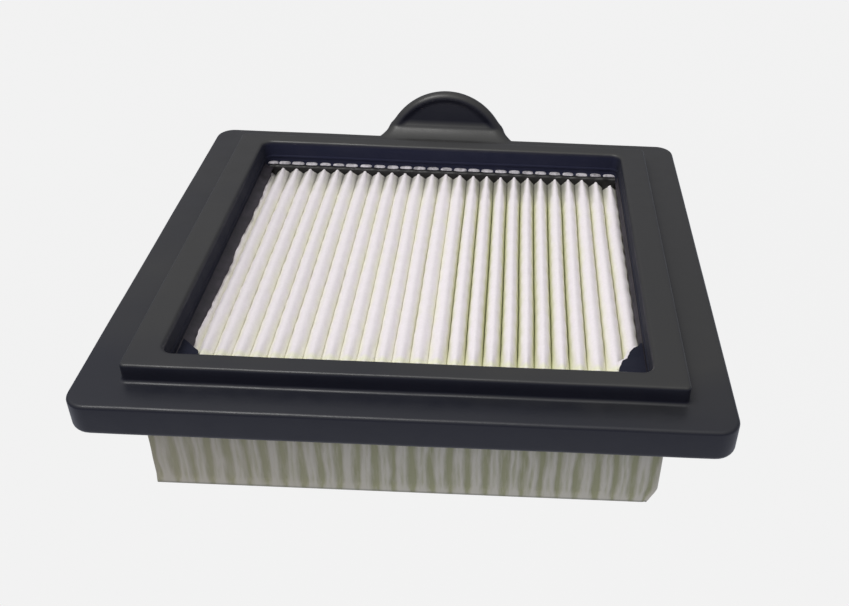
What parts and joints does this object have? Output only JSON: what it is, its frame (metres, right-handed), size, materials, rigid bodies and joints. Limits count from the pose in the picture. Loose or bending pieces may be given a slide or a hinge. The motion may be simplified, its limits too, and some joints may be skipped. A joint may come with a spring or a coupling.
{
  "type": "panel air filter element",
  "caption": "Rectangular panel air filter: pleated paper pack in a moulded black frame with a raised sealing step and a round pull tab.",
  "frame": {"origin": "bottom centre of the whole element, level with the lower folds of the paper", "axes": "+Z out of the opening, away from the paper pack; +Y towards the pull tab; +X to the right when the tab is at the rear"},
  "size_m": [0.138, 0.1372, 0.0386],
  "materials": {
    "moulded_rubber": "semi-gloss moulded skin",
    "filter_paper": "matte embossed paper",
    "pleat_end_paper": "matte crimped and glued paper",
    "edge_sealant": "satin adhesive skin"
  },
  "bodies": {
    "root": {"moulded_frame": "moulded_rubber", "pleated_media": "filter_paper", "front_pleat_seal": "pleat_end_paper", "rear_pleat_seal": "pleat_end_paper", "left_edge_seal": "edge_sealant", "right_edge_seal": "edge_sealant"}
  },
  "joints": []
}
